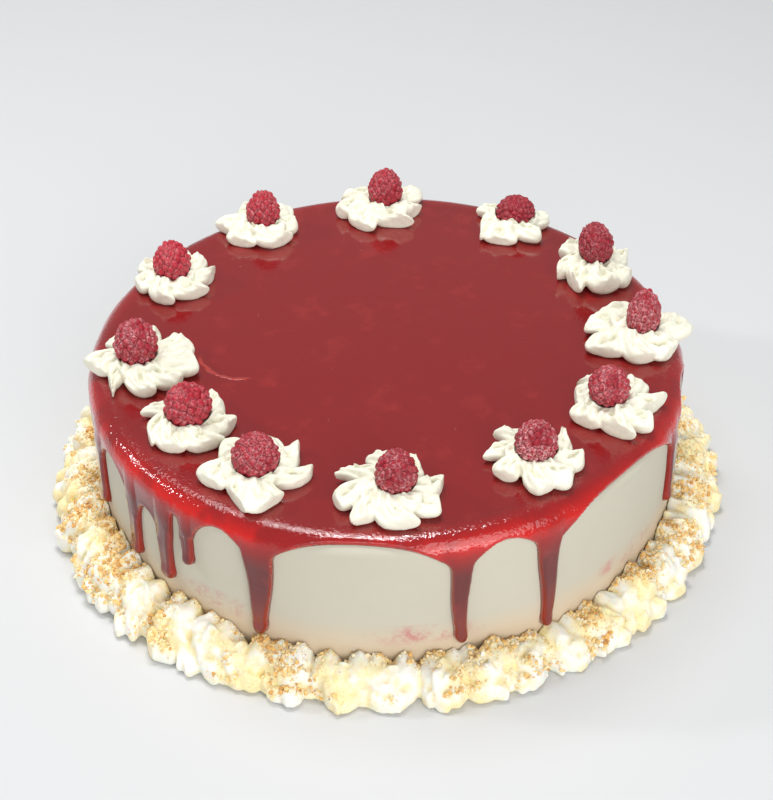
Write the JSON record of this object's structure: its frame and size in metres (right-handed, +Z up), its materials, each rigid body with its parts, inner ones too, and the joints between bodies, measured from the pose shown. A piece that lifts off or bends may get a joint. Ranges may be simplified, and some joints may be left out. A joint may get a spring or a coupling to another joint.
{
  "type": "ice cream cake",
  "caption": "Round frosted ice cream cake with a dripping berry glaze, piped cream rosettes that each hold a raspberry, and a crumb-strewn piped cream border.",
  "frame": {"origin": "centre of the cake's flat underside, on the surface that it stands on", "axes": "+Z up; -Y is the side that the picture shows in front, +X is the picture's right"},
  "size_m": [0.2911, 0.2832, 0.0989],
  "materials": {
    "frosting": "smooth off-white frosting, softly satin",
    "berry_glaze": "wet, glossy dark red fruit glaze",
    "piped_cream": "soft white piped cream strewn with golden crumbs",
    "rosette_cream": "soft white piped cream",
    "raspberry_skin": "crimson fruit skin with a pale frosty bloom"
  },
  "bodies": {
    "root": {"cake": "frosting", "glaze": "berry_glaze", "cream_border": "piped_cream", "rosette_01": "rosette_cream", "rosette_02": "rosette_cream", "rosette_03": "rosette_cream", "rosette_04": "rosette_cream", "rosette_05": "rosette_cream", "rosette_06": "rosette_cream", "rosette_07": "rosette_cream", "rosette_08": "rosette_cream", "rosette_09": "rosette_cream", "rosette_10": "rosette_cream", "rosette_11": "rosette_cream", "rosette_12": "rosette_cream", "raspberry_01": "raspberry_skin", "raspberry_02": "raspberry_skin", "raspberry_03": "raspberry_skin", "raspberry_04": "raspberry_skin", "raspberry_05": "raspberry_skin", "raspberry_06": "raspberry_skin", "raspberry_07": "raspberry_skin", "raspberry_08": "raspberry_skin", "raspberry_09": "raspberry_skin", "raspberry_10": "raspberry_skin", "raspberry_11": "raspberry_skin", "raspberry_12": "raspberry_skin"}
  },
  "joints": []
}
